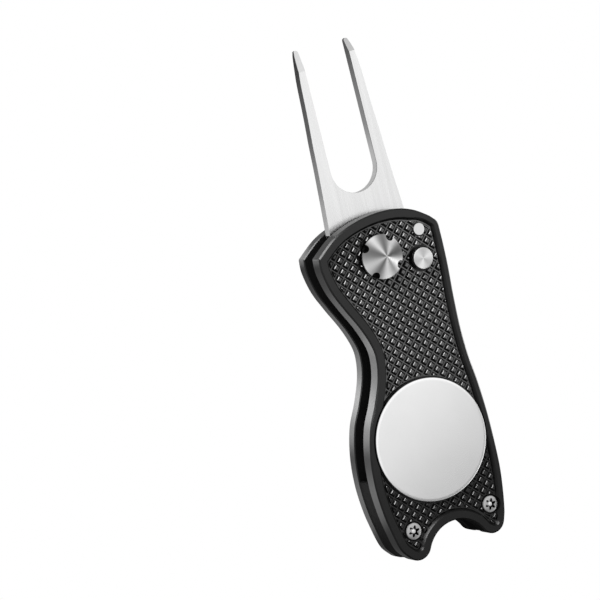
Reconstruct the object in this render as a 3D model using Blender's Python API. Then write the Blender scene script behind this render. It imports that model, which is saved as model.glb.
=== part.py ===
"""Folding divot repair tool: a two-tine fork that turns out of a two-scale handle.

Metres, +Z up. The tool lies on its back scale with the fork open along +Y. Shapes are drawn
in a frame whose Z axis is the fork's pivot; one empty then puts that frame in its place.
"""
import math

import bmesh
import bpy
from mathutils import Vector
from mathutils.geometry import intersect_point_line

# ---- Placing ---------------------------------------------------------------------------
PIVOT_X = -0.000775             # the pivot, from the middle of the open tool's footprint
PIVOT_Y = 0.008746

# ---- Layers, from the back rim (0) to the front rim --------------------------------------
THICKNESS = 0.0100
FRONT_SCALE_THICKNESS = 0.0033
BACK_SCALE_THICKNESS = 0.0027
FORK_THICKNESS = 0.0020
LAYER_GAP = 0.0001              # play between flat neighbours
PANEL_DEPTH = 0.0009
PANEL_SLOPE = 0.00045           # how far the panel's wall leans
RIM_WIDTH = 0.0018
SPINE_RIM_WIDTH = 0.0012        # the rim is narrower along the spine
OUTER_CHAMFER = 0.0003
INNER_CHAMFER = 0.0002
MIDDLE = THICKNESS / 2
FORK_BACK = MIDDLE - FORK_THICKNESS / 2
FORK_FRONT = MIDDLE + FORK_THICKNESS / 2
BACK_INNER = BACK_SCALE_THICKNESS
FRONT_INNER = THICKNESS - FRONT_SCALE_THICKNESS

# ---- Handle outline ----------------------------------------------------------------------
SPINE_CORNER = (0.01245, 0.00272)
SPINE_CORNER_RADIUS = 0.0020
SPINE_CORNER_TURN = 50          # degrees that each corner's arc reaches round to
TOP_SIDE = [
    (0.0124, 0.00545), (0.0096, 0.0072), (0.0064, 0.00827), (0.0024, 0.00868),
    (-0.0018, 0.00838), (-0.0059, 0.00742), (-0.0094, 0.0059),
]
WAIST_CORNER = (-0.01265, 0.00275)
WAIST_CORNER_RADIUS = 0.00065
WAIST_CORNER_TURN = 132
WAIST_SIDE = [
    (-0.01335, 0.0002), (-0.0124, -0.0040), (-0.0106, -0.0080), (-0.0081, -0.0129),
    (-0.0066, -0.0172), (-0.0065, -0.0203), (-0.0073, -0.0239), (-0.0092, -0.0283),
    (-0.0115, -0.0328), (-0.0130, -0.0385), (-0.0135, -0.0443), (-0.0132, -0.0495),
    (-0.0125, -0.0537), (-0.0114, -0.0580),
]
NOTCH_CENTRE = (0.00145, -0.06285)
NOTCH_RADIUS = 0.0070
WAIST_LOBE_Y = -0.0583
WAIST_LOBE_RADIUS = 0.0030
SPINE_LOBE_Y = -0.0584
SPINE_LOBE_RADIUS = 0.0028
SPINE_SIDE = [
    (0.0135, -0.0573), (0.0142, -0.0536), (0.0148, -0.0490), (0.0150, -0.0440),
    (0.0150, -0.0375), (0.0146, -0.0303), (0.0140, -0.0250), (0.0137, -0.0190),
    (0.0139, -0.0120), (0.0143, -0.0060), (0.01445, -0.0010),
]

# ---- Fork --------------------------------------------------------------------------------
FORK_AXIS_X = 0.00095
FORK_SIDE = [                   # half width of the fork at heights above the pivot
    (0.00875, 0.0075), (0.00830, 0.0137), (0.00790, 0.0200), (0.00765, 0.0250),
    (0.00727, 0.0305), (0.00695, 0.0370), (0.00660, 0.0405), (0.00632, 0.0427),
]
TINE_INNER = 0.0052             # half the gap between the tines
CROTCH_Y = 0.0185
TINE_TIP_Y = 0.0438
TINE_TIP_RADIUS = 0.0005
SPINE_SHOULDER_Y = 0.00475      # rests on the stop pin when open
WAIST_SHOULDER_Y = 0.0065
TANG_RADIUS = 0.0075
TIP_BEVEL_DEPTH = 0.0013
WAIST_TIP_BEVEL = 0.0043        # length of the bevel on each tine's front face
SPINE_TIP_BEVEL = 0.0028

# ---- Pivot -------------------------------------------------------------------------------
BARREL_RADIUS = 0.0025
BORE_CLEARANCE = 0.00012
HEAD_RADIUS = 0.00455
HEAD_SEAT_RADIUS = 0.0048
HEAD_NOTCH_WIDTH = 0.0017
HEAD_NOTCH_DEPTH = 0.0011
HEAD_NOTCH_TURN = math.radians(48)
FRONT_HEAD_BASE = 0.0087        # heights of each head's underside, edge and crown
FRONT_HEAD_EDGE = 0.0109
FRONT_HEAD_CROWN = 0.0126
BACK_HEAD_BASE = 0.0018
BACK_HEAD_EDGE = 0.0008
BACK_HEAD_CROWN = 0.0002
PIVOT_SCREW_RADIUS = 0.0015
PIVOT_SCREW_TOP = 0.0074
PIVOT_THREAD_BORE = 0.0017
PIVOT_BORE_TOP = 0.0078
WASHER_RADIUS = 0.0046

# ---- Opening spring ----------------------------------------------------------------------
SPRING_RADIUS = 0.0059
SPRING_WIRE = 0.00027
SPRING_TURNS = 1.5
SPRING_START = math.radians(70)
SPRING_POCKET_FLOOR = 0.0021
SPRING_LEG_HOLE = 0.00045
SPRING_LOWER_LEG = 0.0008
SPRING_UPPER_LEG = 0.0014

# ---- Release button ----------------------------------------------------------------------
BUTTON = (0.00890, -0.00272)
CAP_RADIUS = 0.00218
CAP_TOP = 0.0106
CAP_BOTTOM = 0.00955
STEM_RADIUS = 0.00070
NECK_RADIUS = 0.00100
NECK_TOP = 0.00725
LOCK_RADIUS = 0.00155
LOCK_TOP = 0.0052
LOCK_BOTTOM = 0.0030
CAP_BORE_FLOOR = 0.0079
RELIEF_RADIUS = 0.0027
RELIEF_FLOOR = 0.0086
LOCK_RECESS_FLOOR = 0.0014
BUTTON_SPRING_RADIUS = 0.00078
BUTTON_SPRING_WIRE = 0.00013
BUTTON_SPRING_TURNS = 5

# ---- Other fittings ----------------------------------------------------------------------
STOP_PIN = (0.00995, 0.00307)
STOP_PIN_RADIUS = 0.00125
STOP_PIN_INSET = 0.00025
MARKER = (0.00105, -0.0385)
MARKER_RADIUS = 0.0125
MARKER_THICKNESS = 0.0017
MARKER_PROUD = 0.0003
MARKER_GAP = 0.00035
MAGNET_RADIUS = 0.0040
MAGNET_THICKNESS = 0.0012
SCREWS = {"waist": (-0.00736, -0.0553), "spine": (0.01084, -0.0553)}
SCREW_HEAD_RADIUS = 0.0018
SCREW_HEAD_HEIGHT = 0.0010
SCREW_HEAD_CROWN = 0.0002
SCREW_SEAT_RADIUS = 0.00205
SCREW_SEAT_DEPTH = 0.0018
SCREW_SHANK_RADIUS = 0.0009
SCREW_HOLE_RADIUS = 0.0011
SCREW_LENGTH = 0.0031
SOCKET_RADIUS = 0.0009
SOCKET_DEPTH = 0.0006
SOCKET_TURN = math.radians(8)
STANDOFF_RADIUS = 0.0016
STANDOFF_BORE = 0.00105

# ---- Spacer ------------------------------------------------------------------------------
SPACER_INSET = 0.00015          # how far its edge lies inside the scales' edge
SPACER_SWEEP_RADIUS = 0.0453    # clears the tine tips as they swing in
SPACER_WALL = [                 # its inner wall beside the folded fork and the lock
    (0.00675, -0.0300), (0.0086, -0.0078), (0.0114, -0.0060), (0.0114, 0.0048),
]
SPACER_TOP_X = 0.0116

ROUND = 32                      # sides of a large round shape
SMALL_ROUND = 16                # sides of a small one
MARKER_ROUND = 48


# ---- Plane curves ------------------------------------------------------------------------
def arc(centre, radius, start, end, steps):
    """Points on an arc, angles in degrees, both ends included."""
    points = []
    for i in range(steps + 1):
        angle = math.radians(start + (end - start) * i / steps)
        points.append((centre[0] + radius * math.cos(angle), centre[1] + radius * math.sin(angle)))
    return points


def circle(centre, radius, steps=SMALL_ROUND):
    return arc(centre, radius, 0, 360, steps)[:-1]


def smooth(points, steps=2):
    """A Catmull-Rom curve through the points, without its last point."""
    ends = [points[0]] + list(points) + [points[-1]]
    curve = []
    for a, b, c, d in zip(ends, ends[1:], ends[2:], ends[3:]):
        for i in range(steps):
            t = i / steps
            curve.append(tuple(
                0.5 * (2 * q + (r - p) * t + (2 * p - 5 * q + 4 * r - s) * t ** 2
                       + (3 * q - p - 3 * r + s) * t ** 3)
                for p, q, r, s in zip(a, b, c, d)))
    return curve


def lobe_centre(side, y, radius):
    """Centre of a lobe whose arc runs smoothly into the notch's arc."""
    reach = NOTCH_RADIUS + radius
    rise = y - NOTCH_CENTRE[1]
    return (NOTCH_CENTRE[0] + side * math.sqrt(reach ** 2 - rise ** 2), y)


def handle_outline():
    """The handle's edge, anticlockwise from the spine corner."""
    left = lobe_centre(-1, WAIST_LOBE_Y, WAIST_LOBE_RADIUS)
    right = lobe_centre(1, SPINE_LOBE_Y, SPINE_LOBE_RADIUS)
    left_turn = math.degrees(math.atan2(left[1] - NOTCH_CENTRE[1], left[0] - NOTCH_CENTRE[0]))
    right_turn = math.degrees(math.atan2(right[1] - NOTCH_CENTRE[1], right[0] - NOTCH_CENTRE[0]))

    outline = arc(SPINE_CORNER, SPINE_CORNER_RADIUS, 0, SPINE_CORNER_TURN, 3)
    waist_corner = arc(WAIST_CORNER, WAIST_CORNER_RADIUS, WAIST_CORNER_TURN, 180, 2)
    outline += smooth([outline[-1]] + TOP_SIDE + [waist_corner[0]])[1:]
    outline += waist_corner
    waist_end = arc(left, WAIST_LOBE_RADIUS, 222, 222, 1)[0]
    outline += smooth([outline[-1]] + WAIST_SIDE + [waist_end])[1:]
    outline += arc(left, WAIST_LOBE_RADIUS, 222, 180 + left_turn, 6)
    outline += arc(NOTCH_CENTRE, NOTCH_RADIUS, left_turn, right_turn, 12)[1:]
    lobe = arc(right, SPINE_LOBE_RADIUS, 180 + right_turn, 340, 7)
    outline += lobe[1:]
    outline += smooth([lobe[-1]] + SPINE_SIDE + [outline[0]])[1:]
    return outline


def normals(outline):
    """Unit normals that point out of an anticlockwise outline."""
    result = []
    for i, _ in enumerate(outline):
        before = Vector(outline[i - 1])
        after = Vector(outline[(i + 1) % len(outline)])
        along = (after - before).normalized()
        result.append(Vector((along.y, -along.x)))
    return result


def offset(outline, distance):
    """The outline moved inwards by a small distance, point by point."""
    return [tuple(Vector(p) - n * distance) for p, n in zip(outline, normals(outline))]


def distance_to(point, outline):
    """Distance from a point to a closed outline."""
    spot = Vector(point)
    nearest = math.inf
    for a, b in zip(outline, outline[1:] + outline[:1]):
        foot, share = intersect_point_line(spot, Vector(a), Vector(b))
        if share < 0:
            foot = Vector(a)
        elif share > 1:
            foot = Vector(b)
        nearest = min(nearest, (spot - foot.xy).length)
    return nearest


def rim_width(point):
    """Width of the rim: narrower near the straight spine."""
    share = min(max((point[0] - 0.0085) / 0.0035, 0), 1)
    return RIM_WIDTH + (SPINE_RIM_WIDTH - RIM_WIDTH) * share * share * (3 - 2 * share)


def panel_outline(outline):
    """The edge of the sunk panel: the outline moved in, without the loops this makes."""
    panel = []
    for point, normal in zip(outline, normals(outline)):
        width = rim_width(point)
        moved = tuple(Vector(point) - normal * width)
        if distance_to(moved, outline) > 0.98 * width:
            panel.append(moved)
    return panel


# ---- Solids ------------------------------------------------------------------------------
def stack(loops):
    """A closed solid through loops of equal length, each (points, z)."""
    bm = bmesh.new()
    rings = [[bm.verts.new((x, y, z)) for x, y in points] for points, z in loops]
    for low, high in zip(rings, rings[1:]):
        for i, _ in enumerate(low):
            j = (i + 1) % len(low)
            bm.faces.new((low[i], low[j], high[j], high[i]))
    bm.faces.new(reversed(rings[0]))
    bm.faces.new(rings[-1])
    return bm


def prism(outline, bottom, top):
    return stack([(outline, bottom), (outline, top)])


def turned(profile, steps=ROUND, centre=(0, 0)):
    """A solid turned about Z from (radius, z) points; it is a ring if no radius is 0."""
    bm = bmesh.new()
    ring = all(radius > 0 for radius, _ in profile)
    rows = []
    for radius, z in profile:
        if radius == 0:
            rows.append([bm.verts.new((centre[0], centre[1], z))] * steps)
        else:
            rows.append([bm.verts.new((x, y, z)) for x, y in circle(centre, radius, steps)])
    pairs = list(zip(rows, rows[1:]))
    if ring:
        pairs.append((rows[-1], rows[0]))
    for low, high in pairs:
        for i in range(steps):
            j = (i + 1) % steps
            corners = [low[i], low[j], high[j], high[i]]
            bm.faces.new(list(dict.fromkeys(corners)))
    bmesh.ops.recalc_face_normals(bm, faces=bm.faces)
    return bm


def wire(path, radius, sides=6):
    """A round wire with flat ends along a list of 3-D points."""
    bm = bmesh.new()
    path = [Vector(p) for p in path]
    side = Vector((1, 0, 0))
    rings = []
    for i, point in enumerate(path):
        along = (path[min(i + 1, len(path) - 1)] - path[max(i - 1, 0)]).normalized()
        side = (side - along * side.dot(along)).normalized()
        other = along.cross(side)
        ring = []
        for k in range(sides):
            angle = 2 * math.pi * k / sides
            spot = point + radius * (side * math.cos(angle) + other * math.sin(angle))
            ring.append(bm.verts.new(spot))
        rings.append(ring)
    for low, high in zip(rings, rings[1:]):
        for k in range(sides):
            j = (k + 1) % sides
            bm.faces.new((low[k], low[j], high[j], high[k]))
    bm.faces.new(reversed(rings[0]))
    bm.faces.new(rings[-1])
    return bm


def helix(radius, bottom, top, turns, start, steps):
    """Points on a helix about Z."""
    count = int(turns * steps)
    points = []
    for i in range(count + 1):
        angle = start + 2 * math.pi * turns * i / count
        z = bottom + (top - bottom) * i / count
        points.append((radius * math.cos(angle), radius * math.sin(angle), z))
    return points


# ---- Objects -----------------------------------------------------------------------------
def clear_scene():
    for obj in list(bpy.data.objects):
        bpy.data.objects.remove(obj, do_unlink=True)


def make_material(name, colour, roughness, metallic):
    material = bpy.data.materials.new(name)
    material.use_nodes = True
    shader = material.node_tree.nodes["Principled BSDF"]
    shader.inputs["Base Color"].default_value = (*colour, 1)
    shader.inputs["Roughness"].default_value = roughness
    shader.inputs["Metallic"].default_value = metallic
    return material


def add_object(name, bm, material, location=(0, 0, 0)):
    """Turn a bmesh into an object that hangs on the tool's frame."""
    mesh = bpy.data.meshes.new(name)
    bm.to_mesh(mesh)
    bm.free()
    obj = bpy.data.objects.new(name, mesh)
    bpy.context.collection.objects.link(obj)
    obj.parent = bpy.data.objects["tool_frame"]
    obj.location = location
    if material:
        mesh.materials.append(material)
        mesh.shade_smooth()
        mesh.set_sharp_from_angle(angle=math.radians(35))
    return obj


def cut(obj, bm):
    """Cut a shape out of an object with an exact Boolean."""
    cutter = add_object(obj.name + "_cutter", bm, None, obj.location)
    cutter.hide_render = True
    cutter.display_type = "WIRE"
    boolean = obj.modifiers.new("cut", "BOOLEAN")
    boolean.operation = "DIFFERENCE"
    boolean.solver = "EXACT"
    boolean.object = cutter


def hole(obj, centre, radius, low, high, steps=SMALL_ROUND):
    cut(obj, prism(circle(centre, radius, steps), low, high))


# ---- Scales ------------------------------------------------------------------------------
def add_scale(name, face, inner, outline, material):
    """A scale with its sunk panel, between its outer plane and its inner plane."""
    inward = math.copysign(1, inner - face)

    def level(depth):
        return face + inward * depth

    loops = [
        (offset(outline, OUTER_CHAMFER), face), (outline, level(OUTER_CHAMFER)),
        (outline, inner - inward * INNER_CHAMFER), (offset(outline, INNER_CHAMFER), inner)]
    loops.sort(key=lambda item: item[1])
    scale = add_object(name, stack(loops), material)

    panel = panel_outline(outline)
    floor = (offset(panel, PANEL_SLOPE), level(PANEL_DEPTH))
    mouth = (offset(panel, -PANEL_SLOPE / 2), level(-PANEL_DEPTH / 2))
    cut(scale, stack(sorted([floor, mouth], key=lambda item: item[1])))

    hole(scale, STOP_PIN, STOP_PIN_RADIUS + BORE_CLEARANCE, -0.001, THICKNESS + 0.001)
    hole(scale, (0, 0), BARREL_RADIUS + BORE_CLEARANCE, -0.001, THICKNESS + 0.001, ROUND)
    for centre in SCREWS.values():
        hole(scale, centre, SCREW_HOLE_RADIUS, -0.001, THICKNESS + 0.001)
        low, high = sorted((level(-0.001), level(SCREW_SEAT_DEPTH)))
        hole(scale, centre, SCREW_SEAT_RADIUS, low, high)
    return scale


def add_front_scale(outline, material):
    scale = add_scale("front_scale", THICKNESS, FRONT_INNER, outline, material)
    above = THICKNESS + 0.001
    hole(scale, (0, 0), HEAD_SEAT_RADIUS, FRONT_HEAD_BASE - LAYER_GAP, above, ROUND)
    hole(scale, BUTTON, RELIEF_RADIUS, RELIEF_FLOOR, above, ROUND)
    hole(scale, BUTTON, CAP_RADIUS + BORE_CLEARANCE, CAP_BORE_FLOOR, above, ROUND)
    hole(scale, BUTTON, STEM_RADIUS + BORE_CLEARANCE, FRONT_INNER - 0.001, above)
    hole(scale, BUTTON, NECK_RADIUS + BORE_CLEARANCE, FRONT_INNER - 0.001, NECK_TOP + LAYER_GAP)
    floor = THICKNESS + MARKER_PROUD - MARKER_THICKNESS - LAYER_GAP
    hole(scale, MARKER, MARKER_RADIUS + MARKER_GAP, floor, above, MARKER_ROUND)
    magnet_floor = floor - MAGNET_THICKNESS - 2 * LAYER_GAP
    hole(scale, MARKER, MAGNET_RADIUS + BORE_CLEARANCE, magnet_floor, above, ROUND)


def add_back_scale(outline, material):
    scale = add_scale("back_scale", 0, BACK_INNER, outline, material)
    hole(scale, (0, 0), HEAD_SEAT_RADIUS, -0.001, BACK_HEAD_BASE + LAYER_GAP, ROUND)
    inner = SPRING_RADIUS - SPRING_WIRE - 0.00025
    outer = SPRING_RADIUS + SPRING_WIRE + 0.00025
    above = BACK_INNER + 0.001
    pocket = [(inner, SPRING_POCKET_FLOOR), (outer, SPRING_POCKET_FLOOR), (outer, above), (inner, above)]
    cut(scale, turned(pocket))
    leg = arc((0, 0), SPRING_RADIUS, math.degrees(SPRING_START), 0, 1)[0]
    hole(scale, leg, SPRING_LEG_HOLE, SPRING_POCKET_FLOOR - 0.0007, above, 12)
    hole(scale, BUTTON, LOCK_RADIUS + BORE_CLEARANCE, LOCK_RECESS_FLOOR, above)


# ---- Spacer ------------------------------------------------------------------------------
def spacer_outline(outline):
    """J shape: down the spine, round both lobes, ending where the tine tips swing past."""
    edge = offset(outline, SPACER_INSET)
    sweep = SPACER_SWEEP_RADIUS
    outer = []
    for x, y in edge:
        on_spine_top = y > 0 and x > SPACER_TOP_X
        below_sweep = x < 0 and math.hypot(x, y) > sweep and y < 0
        if on_spine_top or below_sweep or (x > 0 and y < 0):
            outer.append((x, y))
    split = next(i for i, p in enumerate(outer) if p[0] < 0)
    top, rest = outer[:split], outer[split:]
    ring = rest + top
    wall_foot = (SPACER_WALL[0][0], -math.sqrt(sweep ** 2 - SPACER_WALL[0][0] ** 2))
    start = math.degrees(math.atan2(wall_foot[1], wall_foot[0]))
    end = math.degrees(math.atan2(rest[0][1], rest[0][0]))
    return ring + list(reversed(SPACER_WALL)) + arc((0, 0), sweep, start, end, 14)[:-1]


def add_spacer(outline, material):
    spacer = add_object("spine_spacer", prism(
        spacer_outline(outline), BACK_INNER + LAYER_GAP, FRONT_INNER - LAYER_GAP), material)
    for centre in SCREWS.values():
        hole(spacer, centre, STANDOFF_RADIUS + BORE_CLEARANCE, 0, THICKNESS)


# ---- Fork --------------------------------------------------------------------------------
def tine_side(side):
    """Outer edge of one tine, from its shoulder to its tip."""
    shoulder = SPINE_SHOULDER_Y if side > 0 else WAIST_SHOULDER_Y
    start = (FORK_SIDE[0][0] + 0.0001, shoulder)
    edge = smooth([start] + FORK_SIDE + [(TINE_INNER + 0.00092, TINE_TIP_Y - 0.00035)], 2)
    tip = arc((TINE_INNER + 0.00052, TINE_TIP_Y - TINE_TIP_RADIUS), TINE_TIP_RADIUS, 30, 180, 4)
    return [(FORK_AXIS_X + side * x, y) for x, y in edge + tip]


def fork_outline():
    """The fork's edge, anticlockwise from its spine-side shoulder."""
    outline = tine_side(1)
    outline += arc((FORK_AXIS_X, CROTCH_Y), TINE_INNER, 0, -180, 16)
    outline += list(reversed(tine_side(-1)))
    start = 152
    end = 360 + math.degrees(math.asin(SPINE_SHOULDER_Y / TANG_RADIUS))
    return outline + arc((0, 0), TANG_RADIUS, start, end, 24)


def tip_wedge(side, length):
    """Cutter that bevels the front face of one tine's tip."""
    bm = bmesh.new()
    low = TINE_TIP_Y - length
    rise = TIP_BEVEL_DEPTH / length
    rows = []
    for y in (low - 0.001, TINE_TIP_Y + 0.001):
        under = FORK_FRONT - (y - low) * rise
        rows.append([(y, under), (y, FORK_FRONT + 0.002)])
    xs = sorted((FORK_AXIS_X + side * (TINE_INNER - 0.001), FORK_AXIS_X + side * (TINE_INNER + 0.004)))
    section = [rows[0][0], rows[1][0], rows[1][1], rows[0][1]]
    near = [bm.verts.new((xs[0], y, z)) for y, z in section]
    far = [bm.verts.new((xs[1], y, z)) for y, z in section]
    bm.faces.new(near)
    bm.faces.new(reversed(far))
    for i in range(4):
        j = (i + 1) % 4
        bm.faces.new((near[j], near[i], far[i], far[j]))
    bmesh.ops.recalc_face_normals(bm, faces=bm.faces)
    return bm


def spring_end():
    """Where the opening spring's upper leg enters the tang."""
    angle = math.degrees(SPRING_START + 2 * math.pi * SPRING_TURNS)
    return arc((0, 0), SPRING_RADIUS, angle, angle, 1)[0]


def add_fork(material):
    fork = add_object("fork", prism(fork_outline(), FORK_BACK, FORK_FRONT), material)
    hole(fork, (0, 0), BARREL_RADIUS + BORE_CLEARANCE, 0, THICKNESS, ROUND)
    hole(fork, spring_end(), SPRING_LEG_HOLE, 0, THICKNESS, 12)
    cut(fork, tip_wedge(-1, WAIST_TIP_BEVEL))
    cut(fork, tip_wedge(1, SPINE_TIP_BEVEL))


# ---- Pivot -------------------------------------------------------------------------------
def notch_cutter(low, high):
    """Four round-ended slots in from the head's edge, for a pin spanner."""
    bm = bmesh.new()
    half = HEAD_NOTCH_WIDTH / 2
    depth = HEAD_RADIUS - HEAD_NOTCH_DEPTH + half
    slot = arc((depth, 0), half, 90, 270, 6) + [(HEAD_RADIUS + 0.001, -half), (HEAD_RADIUS + 0.001, half)]
    for quarter in range(4):
        turn = HEAD_NOTCH_TURN + quarter * math.pi / 2
        cos, sin = math.cos(turn), math.sin(turn)
        points = [(x * cos - y * sin, x * sin + y * cos) for x, y in slot]
        bottom = [bm.verts.new((x, y, low)) for x, y in points]
        top = [bm.verts.new((x, y, high)) for x, y in points]
        bm.faces.new(reversed(bottom))
        bm.faces.new(top)
        for i, _ in enumerate(points):
            j = (i + 1) % len(points)
            bm.faces.new((bottom[i], bottom[j], top[j], top[i]))
    return bm


def head_profile(base, edge, crown):
    """Half section of a coned head, from the axis at its crown to its underside."""
    bevel = math.copysign(0.0002, edge - base)
    return [
        (0, crown), (HEAD_RADIUS * 0.5, edge + (crown - edge) * 0.52),
        (HEAD_RADIUS - abs(bevel), edge), (HEAD_RADIUS, edge - bevel), (HEAD_RADIUS, base),
    ]


def add_pivot(material):
    bottom = BACK_HEAD_BASE + 2 * LAYER_GAP
    profile = head_profile(FRONT_HEAD_BASE, FRONT_HEAD_EDGE, FRONT_HEAD_CROWN) + [
        (BARREL_RADIUS, FRONT_HEAD_BASE), (BARREL_RADIUS, bottom),
        (PIVOT_THREAD_BORE, bottom), (PIVOT_THREAD_BORE, PIVOT_BORE_TOP), (0, PIVOT_BORE_TOP)]
    barrel = add_object("pivot_barrel", turned(profile), material)
    cut(barrel, notch_cutter(FRONT_HEAD_BASE - 0.001, FRONT_HEAD_CROWN + 0.001))

    profile = head_profile(BACK_HEAD_BASE, BACK_HEAD_EDGE, BACK_HEAD_CROWN) + [
        (PIVOT_SCREW_RADIUS, BACK_HEAD_BASE), (PIVOT_SCREW_RADIUS, PIVOT_SCREW_TOP - 0.0003),
        (PIVOT_SCREW_RADIUS - 0.0003, PIVOT_SCREW_TOP), (0, PIVOT_SCREW_TOP)]
    screw = add_object("pivot_screw", turned(profile), material)
    cut(screw, notch_cutter(-0.003, BACK_HEAD_BASE + 0.001))


def add_washer(name, low, high, material):
    bore = BARREL_RADIUS + BORE_CLEARANCE
    profile = [(bore, low), (WASHER_RADIUS, low), (WASHER_RADIUS, high), (bore, high)]
    add_object(name, turned(profile), material)


def add_opening_spring(material):
    coil = helix(SPRING_RADIUS, SPRING_POCKET_FLOOR + SPRING_WIRE + 0.00005,
                 FORK_BACK - SPRING_WIRE - 0.00005, SPRING_TURNS, SPRING_START, 20)
    lower_leg = Vector(coil[0]) - Vector((0, 0, SPRING_LOWER_LEG))
    upper_leg = Vector(coil[-1]) + Vector((0, 0, SPRING_UPPER_LEG))
    path = [lower_leg] + coil + [upper_leg]
    add_object("opening_spring", wire(path, SPRING_WIRE), material)


# ---- Release button ----------------------------------------------------------------------
def add_button(material):
    """Cap, stem, stepped neck and lock body in one turned piece, hollow for its spring."""
    profile = [
        (0, CAP_TOP), (CAP_RADIUS - 0.0003, CAP_TOP), (CAP_RADIUS, CAP_TOP - 0.0003),
        (CAP_RADIUS, CAP_BOTTOM), (STEM_RADIUS, CAP_BOTTOM), (STEM_RADIUS, NECK_TOP),
        (NECK_RADIUS, NECK_TOP), (NECK_RADIUS, LOCK_TOP), (LOCK_RADIUS, LOCK_TOP),
        (LOCK_RADIUS, LOCK_BOTTOM), (BUTTON_SPRING_RADIUS + 0.00028, LOCK_BOTTOM),
        (BUTTON_SPRING_RADIUS + 0.00028, LOCK_TOP - 0.0007), (0, LOCK_TOP - 0.0007)]
    add_object("release_button", turned(profile, SMALL_ROUND + 8), material, (*BUTTON, 0))


def add_button_spring(material):
    coil = helix(BUTTON_SPRING_RADIUS, LOCK_RECESS_FLOOR + BUTTON_SPRING_WIRE + 0.00005,
                 LOCK_TOP - 0.0007 - BUTTON_SPRING_WIRE - 0.00005, BUTTON_SPRING_TURNS, 0, 8)
    add_object("button_spring", wire(coil, BUTTON_SPRING_WIRE, 4), material, (*BUTTON, 0))


# ---- Small fittings ----------------------------------------------------------------------
def add_stop_pin(material):
    low, high, edge = STOP_PIN_INSET, THICKNESS - STOP_PIN_INSET, 0.0001
    profile = [(0, low), (STOP_PIN_RADIUS - edge, low), (STOP_PIN_RADIUS, low + edge),
               (STOP_PIN_RADIUS, high - edge), (STOP_PIN_RADIUS - edge, high), (0, high)]
    add_object("stop_pin", turned(profile, SMALL_ROUND), material, (*STOP_PIN, 0))


def add_marker(material):
    top, edge = THICKNESS + MARKER_PROUD, 0.0002
    low = top - MARKER_THICKNESS
    profile = [(0, low), (MARKER_RADIUS - edge, low), (MARKER_RADIUS, low + edge),
               (MARKER_RADIUS, top - edge), (MARKER_RADIUS - edge, top), (0, top)]
    add_object("ball_marker", turned(profile, MARKER_ROUND), material, (*MARKER, 0))


def add_magnet(material):
    high = THICKNESS + MARKER_PROUD - MARKER_THICKNESS - 2 * LAYER_GAP
    low = high - MAGNET_THICKNESS
    profile = [(0, low), (MAGNET_RADIUS, low), (MAGNET_RADIUS, high), (0, high)]
    add_object("marker_magnet", turned(profile), material, (*MARKER, 0))


def star(radius, steps=24):
    """Six-lobed socket outline."""
    points = []
    for i in range(steps):
        angle = 2 * math.pi * i / steps
        reach = radius * (0.86 + 0.14 * math.cos(6 * angle))
        turned_angle = angle + SOCKET_TURN
        points.append((reach * math.cos(turned_angle), reach * math.sin(turned_angle)))
    return points


def add_screw(name, centre, face, inward, material):
    """Six-lobed screw; face is the scale's outer plane and inward points down its shank."""
    base = face + inward * (SCREW_SEAT_DEPTH - LAYER_GAP)
    edge = base - inward * SCREW_HEAD_HEIGHT
    crown = edge - inward * SCREW_HEAD_CROWN
    end = base + inward * SCREW_LENGTH
    profile = [
        (0, crown), (SCREW_HEAD_RADIUS * 0.6, crown + inward * SCREW_HEAD_CROWN * 0.3),
        (SCREW_HEAD_RADIUS, edge), (SCREW_HEAD_RADIUS, base), (SCREW_SHANK_RADIUS, base),
        (SCREW_SHANK_RADIUS, end), (0, end)]
    screw = add_object(name, turned(profile, SMALL_ROUND), material, (*centre, 0))
    low, high = sorted((crown - inward * 0.001, edge + inward * SOCKET_DEPTH))
    cut(screw, prism(star(SOCKET_RADIUS), low, high))


def add_standoff(name, centre, material):
    low, high = BACK_INNER + LAYER_GAP, FRONT_INNER - LAYER_GAP
    profile = [(STANDOFF_BORE, low), (STANDOFF_RADIUS, low), (STANDOFF_RADIUS, high), (STANDOFF_BORE, high)]
    add_object(name, turned(profile, SMALL_ROUND), material, (*centre, 0))


def main():
    clear_scene()
    frame = bpy.data.objects.new("tool_frame", None)
    bpy.context.collection.objects.link(frame)
    frame.location = (PIVOT_X, PIVOT_Y, 0)

    anodised = make_material("black_anodised_aluminium", (0.012, 0.012, 0.014), 0.42, 1)
    spacer = make_material("black_spacer", (0.02, 0.02, 0.022), 0.6, 0)
    blade = make_material("brushed_steel_fork", (0.72, 0.72, 0.73), 0.28, 1)
    head = make_material("turned_steel", (0.66, 0.66, 0.67), 0.25, 1)
    satin = make_material("satin_nickel_marker", (0.80, 0.80, 0.81), 0.35, 1)
    zinc = make_material("bright_steel", (0.62, 0.62, 0.64), 0.3, 1)
    bronze = make_material("bronze_washer", (0.52, 0.34, 0.16), 0.4, 1)
    spring = make_material("spring_steel", (0.35, 0.35, 0.37), 0.35, 1)
    magnet = make_material("nickel_magnet", (0.55, 0.54, 0.52), 0.25, 1)

    outline = handle_outline()
    add_front_scale(outline, anodised)
    add_back_scale(outline, anodised)
    add_spacer(outline, spacer)
    add_fork(blade)
    add_pivot(head)
    add_washer("front_washer", FORK_FRONT + LAYER_GAP, FRONT_INNER - LAYER_GAP, bronze)
    add_washer("back_washer", BACK_INNER + LAYER_GAP, FORK_BACK - LAYER_GAP, bronze)
    add_opening_spring(spring)
    add_button(head)
    add_button_spring(spring)
    add_stop_pin(zinc)
    add_marker(satin)
    add_magnet(magnet)
    for side, centre in SCREWS.items():
        add_screw("front_screw_" + side, centre, THICKNESS, -1, zinc)
        add_screw("back_screw_" + side, centre, 0, 1, zinc)
        add_standoff("standoff_" + side, centre, zinc)


main()
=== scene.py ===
"""Divot repair tool: detailed pieces, materials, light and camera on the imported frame."""

import math

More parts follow.
